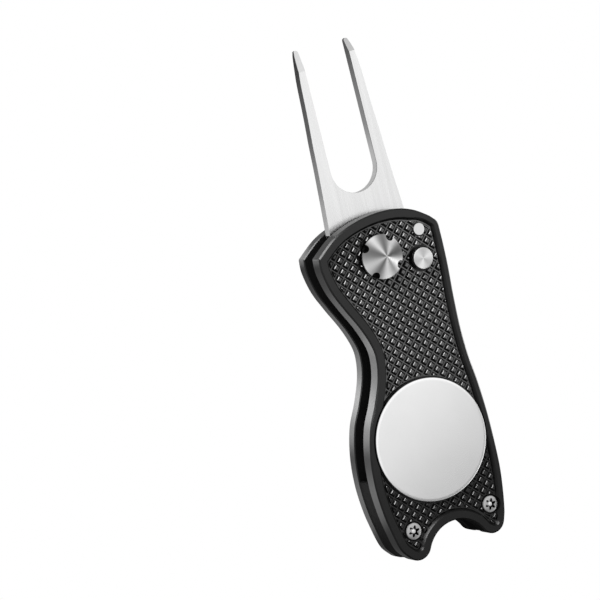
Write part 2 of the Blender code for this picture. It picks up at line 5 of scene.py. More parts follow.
import bmesh
import bpy
from mathutils import Matrix, Vector
from mathutils.geometry import intersect_line_line_2d, intersect_point_line


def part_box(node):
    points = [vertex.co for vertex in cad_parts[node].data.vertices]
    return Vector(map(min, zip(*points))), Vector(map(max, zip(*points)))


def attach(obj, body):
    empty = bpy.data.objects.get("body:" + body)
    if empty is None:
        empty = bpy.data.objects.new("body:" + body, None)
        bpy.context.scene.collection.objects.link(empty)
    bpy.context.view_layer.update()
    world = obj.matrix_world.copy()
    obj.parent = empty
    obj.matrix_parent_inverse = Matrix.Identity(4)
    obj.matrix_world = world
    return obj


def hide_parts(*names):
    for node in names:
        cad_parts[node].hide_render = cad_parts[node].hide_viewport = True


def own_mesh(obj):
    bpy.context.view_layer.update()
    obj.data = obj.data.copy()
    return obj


MM = 0.001
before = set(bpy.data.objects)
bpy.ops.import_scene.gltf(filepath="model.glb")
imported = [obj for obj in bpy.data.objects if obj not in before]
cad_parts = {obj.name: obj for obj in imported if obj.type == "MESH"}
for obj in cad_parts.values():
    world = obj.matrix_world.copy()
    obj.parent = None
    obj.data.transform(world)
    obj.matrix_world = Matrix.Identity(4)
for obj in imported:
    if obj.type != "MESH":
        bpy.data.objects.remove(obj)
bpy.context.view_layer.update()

# The frame that the shapes are drawn in has its Z axis on the fork's pivot.
_low, _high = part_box("pivot_barrel")
PIVOT = Vector(((_low[0] + _high[0]) / 2, (_low[1] + _high[1]) / 2, 0))

# ---- Sizes, in millimetres ---------------------------------------------------------------
THICKNESS = 10.0
BACK_INNER, FRONT_INNER = 2.7, 6.7      # the scales' inner faces
PANEL_DEPTH = 0.9
PANEL_SLOPE = 0.45
RIM, SPINE_RIM = 1.8, 1.2
OUTER_CHAMFER, INNER_CHAMFER = 0.30, 0.20
FORK_BACK, FORK_FRONT = 4.0, 6.0
PIVOT_HOLE = 2.62
HEAD_RADIUS, HEAD_NECK, HEAD_SEAT = 4.55, 4.05, 4.25
HEAD_SEAT_FRONT, HEAD_SEAT_BACK = 8.6, 1.9                  # the heights of the heads' seats
BUTTON = (8.90, -2.72)
BUTTON_SPRING_FLOOR, BUTTON_BORE_TOP, BUTTON_TRAVEL = 1.4, 4.5, 1.5
STOP_PIN = (9.95, 3.07)
STOP_PIN_HOLE = 1.37
MARKER = (1.05, -38.5)
MARKER_LOW, MARKER_TOP, MARKER_CROWN = 8.6, 10.3, 0.11
MARKER_RECESS, MARKER_PLAY = 12.85, 0.1
SCREWS = {"waist": (-7.36, -55.3), "spine": (10.84, -55.3)}
SCREW_SEAT, SCREW_SEAT_DEPTH, SCREW_HOLE = 2.05, 1.8, 1.1
KNURL_PITCH = 1.65
KNURL_START = (0.78, -10.19)       # the middle of one pad
KNURL_BASE, KNURL_SHOULDER, KNURL_TOP = 0.72, 0.43, 0.33
KNURL_SHOULDER_HEIGHT, KNURL_HEIGHT = 0.42, 0.52
KNURL_ROWS = 60                    # each way from the start, more than the panel needs


# ---- Plane curves ------------------------------------------------------------------------
def arc(centre, radius, start, end, steps):
    """Points on an arc, angles in degrees, both ends included."""
    points = []
    for i in range(steps + 1):
        angle = math.radians(start + (end - start) * i / steps)
        points.append((centre[0] + radius * math.cos(angle), centre[1] + radius * math.sin(angle)))
    return points


def circle(centre, radius, steps=64):
    return arc(centre, radius, 0, 360, steps)[:-1]


def smooth(points, steps=8):
    """A Catmull-Rom curve through the points, without its last point."""
    ends = [points[0]] + list(points) + [points[-1]]
    curve = []
    for a, b, c, d in zip(ends, ends[1:], ends[2:], ends[3:]):
        for i in range(steps):
            t = i / steps
            curve.append(tuple(
                0.5 * (2 * q + (r - p) * t + (2 * p - 5 * q + 4 * r - s) * t ** 2
                       + (3 * q - p - 3 * r + s) * t ** 3)
                for p, q, r, s in zip(a, b, c, d)))
    return curve


WAIST_SIDE = [
    (-13.35, 0.2), (-12.4, -4.0), (-10.6, -8.0), (-8.1, -12.9), (-6.6, -17.2), (-6.5, -20.3),
    (-7.3, -23.9), (-9.2, -28.3), (-11.5, -32.8), (-13.0, -38.5), (-13.5, -44.3), (-13.2, -49.5),
    (-12.5, -53.7), (-11.4, -58.0),
]
SPINE_SIDE = [
    (13.5, -57.3), (14.2, -53.6), (14.8, -49.0), (15.0, -44.0), (15.0, -37.5), (14.6, -30.3),
    (14.0, -25.0), (13.7, -19.0), (13.9, -12.0), (14.3, -6.0), (14.45, -1.0),
]
TOP_SIDE = [
    (12.4, 5.45), (9.6, 7.2), (6.4, 8.27), (2.4, 8.68), (-1.8, 8.38), (-5.9, 7.42), (-9.4, 5.9),
]
NOTCH_CENTRE, NOTCH_RADIUS = (1.45, -62.85), 7.0


def lobe_centre(side, y, radius):
    reach = NOTCH_RADIUS + radius
    return (NOTCH_CENTRE[0] + side * math.sqrt(reach ** 2 - (y - NOTCH_CENTRE[1]) ** 2), y)


def turn_from_notch(centre):
    return math.degrees(math.atan2(centre[1] - NOTCH_CENTRE[1], centre[0] - NOTCH_CENTRE[0]))


def handle_outline():
    """The handle's edge, anticlockwise from the spine corner."""
    left, right = lobe_centre(-1, -58.3, 3.0), lobe_centre(1, -58.4, 2.8)
    outline = arc((12.45, 2.72), 2.0, 0, 50, 10)
    waist = arc((-12.65, 2.75), 0.65, 132, 180, 6)
    outline += smooth([outline[-1]] + TOP_SIDE + [waist[0]])[1:]
    outline += waist
    foot = arc(left, 3.0, 222, 222, 1)[0]
    outline += smooth([outline[-1]] + WAIST_SIDE + [foot])[1:]
    outline += arc(left, 3.0, 222, 180 + turn_from_notch(left), 18)
    outline += arc(NOTCH_CENTRE, NOTCH_RADIUS, turn_from_notch(left), turn_from_notch(right), 36)[1:]
    lobe = arc(right, 2.8, 180 + turn_from_notch(right), 340, 20)
    outline += lobe[1:]
    return outline + smooth([lobe[-1]] + SPINE_SIDE + [outline[0]])[1:]


def normals(outline):
    """Unit normals that point out of an anticlockwise outline."""
    result = []
    for i, _ in enumerate(outline):
        along = (Vector(outline[(i + 1) % len(outline)]) - Vector(outline[i - 1])).normalized()
        result.append(Vector((along.y, -along.x)))
    return result


def distance_to(point, outline):
    """Distance from a point to a closed outline."""
    spot, nearest = Vector(point), math.inf
    for a, b in zip(outline, outline[1:] + outline[:1]):
        foot, share = intersect_point_line(spot, Vector(a), Vector(b))
        foot = Vector(a) if share < 0 else Vector(b) if share > 1 else foot
        nearest = min(nearest, (spot - foot.xy).length)
    return nearest


def offset(outline, distance):
    """The outline moved inwards by a set or a changing distance, without the loops this makes."""
    moved = []
    for point, normal in zip(outline, normals(outline)):
        width = distance(point) if callable(distance) else distance
        spot = tuple(Vector(point) - normal * width)
        if distance_to(spot, outline) > 0.985 * abs(width):
            moved.append(spot)
    return without_loops(moved)


def without_loops(points, reach=12):
    """Drops the points between two nearby edges that cross."""
    kept, i = [], 0
    while i < len(points) - 1:
        kept.append(points[i])
        skip = 1
        for j in range(min(i + reach, len(points) - 2), i + 1, -1):
            if intersect_line_line_2d(points[i], points[i + 1], points[j], points[j + 1]):
                skip = j - i + 1
                break
        i += skip
    return kept + points[i:]


def shifted(outline, distance):
    """The outline moved inwards by a small distance, point by point."""
    return [tuple(Vector(p) - n * distance) for p, n in zip(outline, normals(outline))]


def rim_width(point):
    share = min(max((point[0] - 8.5) / 3.5, 0), 1)
    return RIM + (SPINE_RIM - RIM) * share * share * (3 - 2 * share)


# ---- Meshes ------------------------------------------------------------------------------
def stack(loops):
    """A closed solid through loops of equal length, each (points, z)."""
    bm = bmesh.new()
    rings = []
    for points, z in sorted(loops, key=lambda loop: loop[1]):
        rings.append([bm.verts.new((x, y, z)) for x, y in points])
    for low, high in zip(rings, rings[1:]):
        for i, _ in enumerate(low):
            j = (i + 1) % len(low)
            bm.faces.new((low[i], low[j], high[j], high[i]))
    bm.faces.new(reversed(rings[0]))
    bm.faces.new(rings[-1])
    return bm


def prism(outline, bottom, top):
    return stack([(outline, bottom), (outline, top)])


def turned(profile, steps=96, centre=(0, 0)):
    """A solid turned about Z from (radius, z) points; it is a ring if no radius is 0."""
    bm = bmesh.new()
    rows = []
    for radius, z in profile:
        if radius == 0:
            rows.append([bm.verts.new((centre[0], centre[1], z))] * steps)
        else:
            rows.append([bm.verts.new((x, y, z)) for x, y in circle(centre, radius, steps)])
    pairs = list(zip(rows, rows[1:]))
    if all(radius > 0 for radius, _ in profile):
        pairs.append((rows[-1], rows[0]))
    for low, high in pairs:
        for i in range(steps):
            j = (i + 1) % steps
            bm.faces.new(list(dict.fromkeys([low[i], low[j], high[j], high[i]])))
    bmesh.ops.recalc_face_normals(bm, faces=bm.faces)
    return bm


def add(name, bm, material=None, sharp=30):
    """An object in the pivot's frame, drawn in millimetres."""
    bmesh.ops.scale(bm, vec=(MM, MM, MM), verts=bm.verts)
    mesh = bpy.data.meshes.new(name)
    bm.to_mesh(mesh)
    bm.free()
    obj = bpy.data.objects.new(name, mesh)
    bpy.context.collection.objects.link(obj)
    obj.location = PIVOT
    if material:
        mesh.materials.append(material)
        mesh.shade_smooth()
        mesh.set_sharp_from_angle(angle=math.radians(sharp))
    return obj


def stand_at(obj, centre):
    """Moves an object that is turned about its own axis to its place in the handle."""
    obj.location = PIVOT + Vector((*centre, 0)) * MM
    return obj


def combine(obj, shapes, operation="DIFFERENCE", sharp=30):
    """Cuts the shapes from an object, or keeps what it shares with them, and applies it."""
    tools = []
    for bm in shapes:
        tool = add(obj.name + "_tool", bm)
        boolean = obj.modifiers.new("cut", "BOOLEAN")
        boolean.operation = operation
        boolean.solver = "EXACT"
        boolean.object = tool
        tools.append(tool)
    bpy.context.view_layer.update()
    shape = obj.evaluated_get(bpy.context.evaluated_depsgraph_get())
    mesh = bpy.data.meshes.new_from_object(shape)
    obj.modifiers.clear()
    obj.data = mesh
    for tool in tools:
        bpy.data.objects.remove(tool, do_unlink=True)
    mesh.shade_smooth()
    mesh.set_sharp_from_angle(angle=math.radians(sharp))
    return obj


def finish_piece(obj, body, slot, *nodes):
    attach(obj, body)
    if nodes:
        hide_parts(*nodes)
    return obj


# ---- Materials ---------------------------------------------------------------------------
class Nodes:
    """Short calls for one node tree."""

    def __init__(self, owner):
        owner.use_nodes = True
        self.owner = owner
        self.tree = owner.node_tree
        self.shader = self.tree.nodes.get("Principled BSDF")

    def node(self, kind, **settings):
        node = self.tree.nodes.new(kind)
        for name, value in settings.items():
            setattr(node, name, value)
        return node

    def link(self, source, target):
        self.tree.links.new(source, target)

    def value(self, socket, value):
        if hasattr(value, "is_output"):
            self.link(value, socket)
        else:
            socket.default_value = value

    def math(self, operation, a, b=0.0):
        node = self.node("ShaderNodeMath", operation=operation)
        self.value(node.inputs[0], a)
        self.value(node.inputs[1], b)
        return node.outputs[0]

    def ranged(self, source, low, high, to_low, to_high):
        node = self.node("ShaderNodeMapRange")
        for socket, value in zip(node.inputs, (source, low, high, to_low, to_high)):
            self.value(socket, value)
        return node.outputs[0]

    def position(self, scale=(1, 1, 1)):
        """The piece's own coordinates, stretched."""
        where = self.node("ShaderNodeTexCoord").outputs["Object"]
        stretch = self.node("ShaderNodeMapping")
        stretch.inputs["Scale"].default_value = scale
        self.link(where, stretch.inputs["Vector"])
        return stretch.outputs["Vector"]

    def along(self, axis):
        """The piece's own coordinate along an axis."""
        node = self.node("ShaderNodeVectorMath", operation="DOT_PRODUCT")
        self.link(self.position(), node.inputs[0])
        node.inputs[1].default_value = axis
        return node.outputs["Value"]

    def noise(self, scale, stretch=(1, 1, 1), detail=3.0, rough=0.55):
        node = self.node("ShaderNodeTexNoise")
        self.link(self.position(stretch), node.inputs["Vector"])
        node.inputs["Scale"].default_value = scale
        node.inputs["Detail"].default_value = detail
        node.inputs["Roughness"].default_value = rough
        return node.outputs["Fac"]

    def bump(self, height, strength, distance):
        node = self.node("ShaderNodeBump")
        node.inputs["Strength"].default_value = strength
        node.inputs["Distance"].default_value = distance
        self.link(height, node.inputs["Height"])
        self.link(node.outputs["Normal"], self.shader.inputs["Normal"])

    def grey(self, level):
        """A neutral colour from a level."""
        node = self.node("ShaderNodeCombineColor")
        for socket in node.inputs:
            self.value(socket, level)
        return node.outputs[0]

    def set(self, **values):
        names = {"colour": "Base Color", "rough": "Roughness", "metal": "Metallic",
                 "anisotropy": "Anisotropic", "specular": "Specular IOR Level", "tangent": "Tangent"}
        for name, value in values.items():
            self.value(self.shader.inputs[names[name]], value)


def black_anodised():
    """Fine blasted aluminium dyed black, with painted shade: it reflects less toward the foot."""
    n = Nodes(bpy.data.materials.new("black_anodised"))
    grain = n.noise(9000, detail=2)
    cloud = n.noise(260, detail=4)
    # Painted shade: the specular level falls from 0.39 to 0.25 toward the foot along Y.
    painted_foot_shade = n.ranged(n.along((0, 1, 0)), -0.052, -0.025, 0.25, 0.39)
    n.set(colour=n.grey(n.ranged(cloud, 0.3, 0.7, 0.005, 0.007)), metal=0.0, specular=painted_foot_shade,
          rough=n.ranged(grain, 0.3, 0.7, 0.26, 0.36))
    n.bump(grain, 0.10, 0.00002)
    return n.owner


def black_cut(name, ior, rough):
    """The same dye on faces the cutter left: polished on the edges; on the flanks a very low IOR makes it
    painted shade that keeps them dark.
    """
    n = Nodes(bpy.data.materials.new(name))
    grain = n.noise(7000, detail=2)
    n.set(colour=n.grey(n.ranged(grain, 0.3, 0.7, 0.005, 0.011)), metal=0.0, specular=0.5,
          rough=n.ranged(grain, 0.3, 0.7, rough - 0.05, rough + 0.05))
    n.shader.inputs["IOR"].default_value = ior
    return n.owner


def black_knurl():
    """The same dye over cutter marks, with painted shade: it reflects less toward the foot and the waist
    corner.
    """
    n = Nodes(bpy.data.materials.new("black_knurl"))
    grain = n.noise(7000, detail=3)
    # Painted shade: the specular level falls toward the foot and toward the waist corner.
    foot = n.ranged(n.along((0, 1, 0)), -0.046, -0.020, 0.12, 0.5)
    corner_shade = n.ranged(n.along((1, -1, 0)), -0.012, 0.003, 0.22, 0.5)
    n.set(colour=n.grey(n.ranged(grain, 0.3, 0.7, 0.004, 0.009)), metal=0.0,
          specular=n.math("MINIMUM", foot, corner_shade),
          rough=n.ranged(grain, 0.3, 0.7, 0.24, 0.36))
    n.shader.inputs["IOR"].default_value = 2.1
    n.bump(grain, 0.12, 0.00002)
    return n.owner


def brushed_blade():
    """Steel brushed along the fork."""
    n = Nodes(bpy.data.materials.new("brushed_blade"))
    fine = n.noise(1, stretch=(9000, 160, 900), detail=4, rough=0.6)
    broad = n.noise(1, stretch=(1600, 30, 200), detail=3)
    streak = n.ranged(fine, 0.25, 0.75, 0.93, 1.04)
    level = n.math("MULTIPLY", streak, n.ranged(broad, 0.25, 0.75, 0.78, 0.86))
    n.set(colour=n.grey(level), metal=1.0, rough=n.ranged(fine, 0.3, 0.7, 0.24, 0.34))
    n.bump(fine, 0.10, 0.00002)
    return n.owner


def turned_head(name, painted_sectors, level, swing):
    """Concentric turning marks, with painted highlight fans in the colour; the sectors give the fans'
    directions and half widths.
    """
    n = Nodes(bpy.data.materials.new(name))
    where = n.node("ShaderNodeSeparateXYZ")
    n.link(n.node("ShaderNodeTexCoord").outputs["Object"], where.inputs[0])
    x, y = where.outputs[0], where.outputs[1]
    angle = n.math("ARCTAN2", y, x)
    painted_fan = None
    for direction, width in painted_sectors:
        apart = n.math("SUBTRACT", angle, math.radians(direction))
        closeness = n.math("MULTIPLY", n.math("SUBTRACT", n.math("COSINE", apart), 1.0),
                           1 / math.radians(width) ** 2)
        lobe = n.math("POWER", math.e, closeness)
        painted_fan = lobe if painted_fan is None else n.math("MAXIMUM", painted_fan, lobe)
    radius = n.math("SQRT", n.math("ADD", n.math("MULTIPLY", x, x), n.math("MULTIPLY", y, y)))
    rings = n.node("ShaderNodeTexNoise", noise_dimensions="1D")
    n.link(n.math("MULTIPLY", radius, 9000), rings.inputs["W"])
    rings.inputs["Scale"].default_value = 1.0
    rings.inputs["Detail"].default_value = 3.0
    ring = rings.outputs["Fac"]
    groove = n.ranged(ring, 0.3, 0.7, 0.95, 1.03)
    # Painted highlight: the colour is brightest along the fans and darker between them.
    shade = n.math("MULTIPLY", n.ranged(painted_fan, 0, 1, level - swing, level), groove)
    tangent = n.node("ShaderNodeTangent", direction_type="RADIAL", axis="Z")
    n.set(colour=n.grey(shade), metal=1.0, rough=n.ranged(ring, 0.3, 0.7, 0.36, 0.44),
          anisotropy=0.75, tangent=tangent.outputs[0])
    return n.owner


def satin(name, level, rough, spread=0.02):
    """Plated metal with a very fine even grain."""
    n = Nodes(bpy.data.materials.new(name))
    grain = n.noise(14000, detail=2)
    cloud = n.noise(90, detail=3)
    n.set(colour=n.grey(n.ranged(cloud, 0.3, 0.7, level - spread, level + spread)), metal=1.0,
          rough=n.ranged(grain, 0.3, 0.7, rough - 0.04, rough + 0.04))
    n.bump(grain, 0.05, 0.00001)
    return n.owner


def matte_black():
    """Moulded nylon spacer."""
    n = Nodes(bpy.data.materials.new("matte_black"))
    grain = n.noise(5000, detail=3)
    n.set(colour=n.grey(n.ranged(grain, 0.3, 0.7, 0.009, 0.013)), metal=0.0, specular=0.05,
          rough=n.ranged(grain, 0.3, 0.7, 0.65, 0.80))
    n.bump(grain, 0.15, 0.00002)
    return n.owner


def tinted(name, colour, rough):
    """Plain metal of a colour with fine marks."""
    n = Nodes(bpy.data.materials.new(name))
    grain = n.noise(4000, stretch=(1, 1, 4), detail=3)
    mix = n.node("ShaderNodeMix", data_type="RGBA")
    n.link(n.ranged(grain, 0.3, 0.7, 0, 1), mix.inputs["Factor"])
    mix.inputs["A"].default_value = (*[c * 0.86 for c in colour], 1)
    mix.inputs["B"].default_value = (*colour, 1)
    n.set(colour=mix.outputs["Result"], metal=1.0,
          rough=n.ranged(grain, 0.3, 0.7, rough - 0.05, rough + 0.05))
    return n.owner


# ---- Scales ------------------------------------------------------------------------------
def hole(centre, radius, low, high, steps=64):
    return prism(circle(centre, radius, steps), *sorted((low, high)))


def knurl_field(floor, inward, region, gaps):
    """Square frusta in diagonal rows, trimmed to a region and kept clear of the gaps."""
    bm = bmesh.new()
    step = KNURL_PITCH * math.sqrt(0.5)
    out = -inward

    def ring(x, y, half, height):
        reach = half * math.sqrt(2)
        spots = ((reach, 0), (0, reach), (-reach, 0), (0, -reach))
        return [bm.verts.new((x + dx, y + dy, floor + out * height)) for dx, dy in spots]

    xs, ys = [p[0] for p in region], [p[1] for p in region]
    for i in range(-KNURL_ROWS, KNURL_ROWS):
        for j in range(-KNURL_ROWS, KNURL_ROWS):
            x = KNURL_START[0] + (i - j) * step
            y = KNURL_START[1] - (i + j) * step
            if not (min(xs) - 2 < x < max(xs) + 2 and min(ys) - 2 < y < max(ys) + 2):
                continue
            rows = [
                ring(x, y, KNURL_BASE + 0.05, -0.06), ring(x, y, KNURL_BASE, 0.0),
                ring(x, y, KNURL_SHOULDER, KNURL_SHOULDER_HEIGHT), ring(x, y, KNURL_TOP, KNURL_HEIGHT)]
            for low, high in zip(rows, rows[1:]):
                for k in range(4):
                    bm.faces.new((low[k], low[(k + 1) % 4], high[(k + 1) % 4], high[k]))
            bm.faces.new(reversed(rows[0]))
            bm.faces.new(rows[-1])
    bmesh.ops.recalc_face_normals(bm, faces=bm.faces)
    low, high = sorted((floor - out * 0.05, floor + out * 1.0))
    field = add("knurl", prism(region, low, high), None)
    combine(field, [bm], "INTERSECT")
    return combine(field, [hole(c, r, low - 1, high + 1) for c, r in gaps])


def make_scale(name, face, inner, material, knurled, extra, gaps):
    """A scale: chamfered plate, sunk panel with leaning walls, knurling, holes and seats.

    The knurled materials are for the pads' tops, their cut edges and their flanks; the tops' material and
    the flanks' near-black copy carry painted shade.
    """
    inward = math.copysign(1, inner - face)

    def level(depth):
        return face + inward * depth

    outline = handle_outline()
    body = add(name, stack([
        (shifted(outline, OUTER_CHAMFER), face), (outline, level(OUTER_CHAMFER)),
        (outline, inner - inward * INNER_CHAMFER), (shifted(outline, INNER_CHAMFER), inner)]), material)
    panel = offset(outline, rim_width)
    sunk = stack([
        (shifted(panel, PANEL_SLOPE), level(PANEL_DEPTH)), (shifted(panel, 0.10), level(0.21)),
        (shifted(panel, -0.10), level(0)), (shifted(panel, -0.10), level(-1))])
    above, below = level(-1), inner + inward
    shapes = [sunk, hole(STOP_PIN, STOP_PIN_HOLE, above, below), hole((0, 0), PIVOT_HOLE, above, below)]
    for centre in SCREWS.values():
        shapes.append(hole(centre, SCREW_SEAT, above, level(SCREW_SEAT_DEPTH)))
        shapes.append(hole(centre, SCREW_HOLE, above, below))
    shapes += extra
    combine(body, shapes)
    region = offset(outline, lambda point: rim_width(point) + PANEL_SLOPE + 0.22)
    knurl = knurl_field(level(PANEL_DEPTH), inward, region, gaps)
    knurl.data.materials.clear()
    for other in knurled:
        body.data.materials.append(other)
    floor = level(PANEL_DEPTH) * MM
    for face_of_body in body.data.polygons:
        if abs(face_of_body.center.z - floor) < 1e-6:
            face_of_body.material_index = 1
    # Painted shade: the steep flanks get the darkened copy of the dye.
    top, edge, flank = 1, 2, 3
    for pad_face in knurl.data.polygons:
        upright = abs(pad_face.normal.z)
        pad_face.material_index = top if upright >= 0.9 else edge if upright >= 0.65 else flank
    knurl.data.shade_flat()
    join(body, knurl)
    return body


def join(first, *others):
    """Puts the other objects' meshes into the first one."""
    bm = bmesh.new()
    bm.from_mesh(first.data)
    for obj in others:
        bm.from_mesh(obj.data)
        bpy.data.objects.remove(obj, do_unlink=True)
    bm.to_mesh(first.data)
    bm.free()
    first.data.update()


def make_scales(material, knurled):
    """Both scales; the gaps are where the knurling stops short of a hole."""
    gaps = [((0, 0), HEAD_SEAT + 0.1), (STOP_PIN, 1.5)] + [(centre, 2.2) for centre in SCREWS.values()]
    top = THICKNESS + 1
    front = [
        hole((0, 0), HEAD_SEAT, HEAD_SEAT_FRONT, top, 96), hole(BUTTON, 2.7, 8.6, top),
        hole(BUTTON, 2.3, 7.9, top), hole(BUTTON, 1.0, 6.0, top),
        hole(MARKER, MARKER_RECESS, MARKER_LOW - MARKER_PLAY, top, 192)]
    scale = make_scale("front_plate", THICKNESS, FRONT_INNER, material, knurled, front,
                       gaps + [(BUTTON, 2.8), (MARKER, 13.0)])
    plates = [finish_piece(scale, "handle", "black_anodised", "front_scale")]
    lock_recess = hole(BUTTON, 1.75, BUTTON_SPRING_FLOOR, 4.0)
    back = [hole((0, 0), HEAD_SEAT, -1, HEAD_SEAT_BACK, 96), lock_recess]
    scale = make_scale("back_plate", 0, BACK_INNER, material, knurled, back, gaps)
    plates.append(finish_piece(scale, "handle", "black_anodised", "back_scale"))
    return plates


# ---- Fork --------------------------------------------------------------------------------
FORK_AXIS = 0.95
FORK_SIDE = [
    (8.75, 7.5), (8.30, 13.7), (7.90, 20.0), (7.65, 25.0), (7.27, 30.5), (6.95, 37.0),
    (6.60, 40.5), (6.32, 42.7),
]
TINE_INNER, CROTCH_Y, TIP_Y = 5.2, 18.5, 43.8


def tine_side(side):
    shoulder = 4.75 if side > 0 else 6.5
    edge = smooth([(8.85, shoulder)] + FORK_SIDE + [(TINE_INNER + 0.92, TIP_Y - 0.35)], 6)
    tip = arc((TINE_INNER + 0.52, TIP_Y - 0.5), 0.5, 30, 180, 24)
    return [(FORK_AXIS + side * x, y) for x, y in edge + tip]


def fork_outline():
    outline = tine_side(1) + arc((FORK_AXIS, CROTCH_Y), TINE_INNER, 0, -180, 48)
    outline += list(reversed(tine_side(-1)))
    end = 360 + math.degrees(math.asin(4.75 / 7.5))
    return outline + arc((0, 0), 7.5, 152, end, 72)


def tip_wedge(side, length, depth=1.3):
    """Cutter that bevels the front face of one tine's tip."""
    low = TIP_Y - length
    xs = sorted((FORK_AXIS + side * (TINE_INNER - 1), FORK_AXIS + side * (TINE_INNER + 4)))
    section = []
    for y in (low - 1, TIP_Y + 1):
        section.append((y, FORK_FRONT - (y - low) * depth / length))
    section += [(TIP_Y + 1, FORK_FRONT + 2), (low - 1, FORK_FRONT + 2)]
    bm = bmesh.new()
    near = [bm.verts.new((xs[0], y, z)) for y, z in section]
    far = [bm.verts.new((xs[1], y, z)) for y, z in section]
    bm.faces.new(near)
    bm.faces.new(reversed(far))
    for i in range(4):
        bm.faces.new((near[(i + 1) % 4], near[i], far[i], far[(i + 1) % 4]))
    bmesh.ops.recalc_face_normals(bm, faces=bm.faces)
    return bm


def make_fork(material, ground):
    outline, edge = fork_outline(), 0.05
    blade = add("fork_blade", stack([
        (shifted(outline, edge), FORK_BACK), (outline, FORK_BACK + 2.4 * edge),
        (outline, FORK_FRONT - 2.4 * edge), (shifted(outline, edge), FORK_FRONT)]), material, 12)
    combine(blade, [hole((0, 0), PIVOT_HOLE, 0, 10), tip_wedge(-1, 4.3), tip_wedge(1, 2.8)], sharp=12)
    blade.data.materials.append(ground)
    for face in blade.data.polygons:
        if face.normal.y > 0.2 and face.normal.z > 0.88:
            face.material_index = 1
    finish_piece(blade, "fork", "brushed_fork", "fork")


# ---- Pivot, button, marker, pins and screws ------------------------------------------------
def notches(low, high):
    """Four round-ended slots in from the head's edge."""
    half, depth = 0.85, 1.1
    centre = HEAD_RADIUS - depth + half
    slot = arc((centre, 0), half, 90, 270, 20) + [(HEAD_RADIUS + 1, -half), (HEAD_RADIUS + 1, half)]
    shapes = []
    for quarter in range(4):
        turn = Matrix.Rotation(math.radians(54 + 90 * quarter), 2)
        shapes.append(prism([tuple(turn @ Vector(p)) for p in slot], low, high))
    return shapes


def head_profile(base, edge, crown):
    """Half section of a coned head with a softened edge and a slightly rounded crown."""
    sign = math.copysign(1, edge - base)
    rise = crown - edge
    rows = [(0, crown)]
    for i in range(1, 17):
        share = i / 17
        rows.append((share * (HEAD_RADIUS - 0.2), edge + rise * ((1 - share) ** 1.06)))
    rows += [(HEAD_RADIUS - 0.2, edge), (HEAD_RADIUS - 0.06, edge - sign * 0.06),
             (HEAD_RADIUS, edge - sign * 0.2), (HEAD_RADIUS, edge - sign * 0.4),
             (HEAD_NECK, edge - sign * 0.8), (HEAD_NECK, base)]
    return rows


def paint_notch_shade(obj, edge, outward, material):
    """Gives the notches' walls and floors a near-black second material, painted shade in the recesses."""
    obj.data.materials.append(material)
    for face in obj.data.polygons:
        radius = math.hypot(face.center.x, face.center.y) / MM
        below = (edge - face.center.z / MM) * outward
        wall = abs(face.normal.z) < 0.3 and radius < HEAD_RADIUS - 0.08
        if radius > 3.0 and below > -0.7 and (wall or (below > 0.5 and radius > 3.3)):
            face.material_index = 1


def make_pivot(material, shadow):
    barrel = add("pivot_head", turned(head_profile(8.7, 10.9, 12.9) + [
        (2.5, 8.7), (2.5, 2.0), (1.7, 2.0), (1.7, 7.8), (0, 7.8)], 128), material)
    combine(barrel, notches(9.6, 14))
    paint_notch_shade(barrel, 10.9, 1, shadow)
    finish_piece(barrel, "handle", "turned_steel", "pivot_barrel")
    screw = add("pivot_back_head", turned(head_profile(1.8, 0.8, 0.2) + [
        (1.5, 1.8), (1.5, 7.1), (1.2, 7.4), (0, 7.4)], 128), material)
    combine(screw, notches(-3, 1.4))
    paint_notch_shade(screw, 0.8, -1, shadow)
    finish_piece(screw, "handle", "turned_steel", "pivot_screw")


def make_button(material):
    rows = [(0, 10.6), (1.9, 10.6), (1.95, 10.6), (2.11, 10.59), (2.16, 10.57), (2.18, 10.53),
            (2.18, 9.55), (0.7, 9.55), (0.7, 7.25), (1.0, 7.25), (1.0, 5.2), (1.55, 5.2),
            (1.55, 3.0), (1.06, 3.0), (1.06, BUTTON_BORE_TOP), (0, BUTTON_BORE_TOP)]
    button = add("button_cap", turned(rows), material)
    finish_piece(stand_at(button, BUTTON), "release_button", "turned_steel", "release_button")


def coil(radius, wire, bottom, top, turns, steps=24, sides=8):
    """A round wire wound about Z, closed at both ends."""
    bm = bmesh.new()
    rings, count = [], turns * steps
    for i in range(count + 1):
        angle = 2 * math.pi * i / steps
        height = bottom + (top - bottom) * i / count
        ring = []
        for across, up in circle((0, 0), wire, sides):
            reach = radius + across
            ring.append(bm.verts.new((reach * math.cos(angle), reach * math.sin(angle), height + up)))
        rings.append(ring)
    for low, high in zip(rings, rings[1:]):
        for i in range(sides):
            j = (i + 1) % sides
            bm.faces.new((low[i], low[j], high[j], high[i]))
    bm.faces.new(reversed(rings[0]))
    bm.faces.new(rings[-1])
    bmesh.ops.recalc_face_normals(bm, faces=bm.faces)
    return bm


def make_button_spring(material):
    """The spring under the button; it is drawn at one length and does not shorten with the button."""
    low, high, wire = BUTTON_SPRING_FLOOR, BUTTON_BORE_TOP, 0.13
    spring = add("button_coil", coil(0.78, wire, low + 0.15, high - 0.15, 5), material)
    finish_piece(stand_at(spring, BUTTON), "handle", "spring_steel", "button_spring")
    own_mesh(spring)


def make_marker(material):
    top, low, edge = MARKER_TOP, MARKER_LOW, MARKER_TOP - MARKER_CROWN
    rows = [(0, top)] + [(r, top - MARKER_CROWN * (r / 11.9) ** 2) for r in (2, 4, 6, 8, 10, 11.9)]
    rows += [(12.4, edge - 0.01), (12.46, edge - 0.03), (12.5, edge - 0.07), (12.5, low + 0.2), (12.3, low),
             (0, low)]
    marker = add("marker_disc", turned(rows, 192), material)
    finish_piece(stand_at(marker, MARKER), "ball_marker", "satin_nickel", "ball_marker")


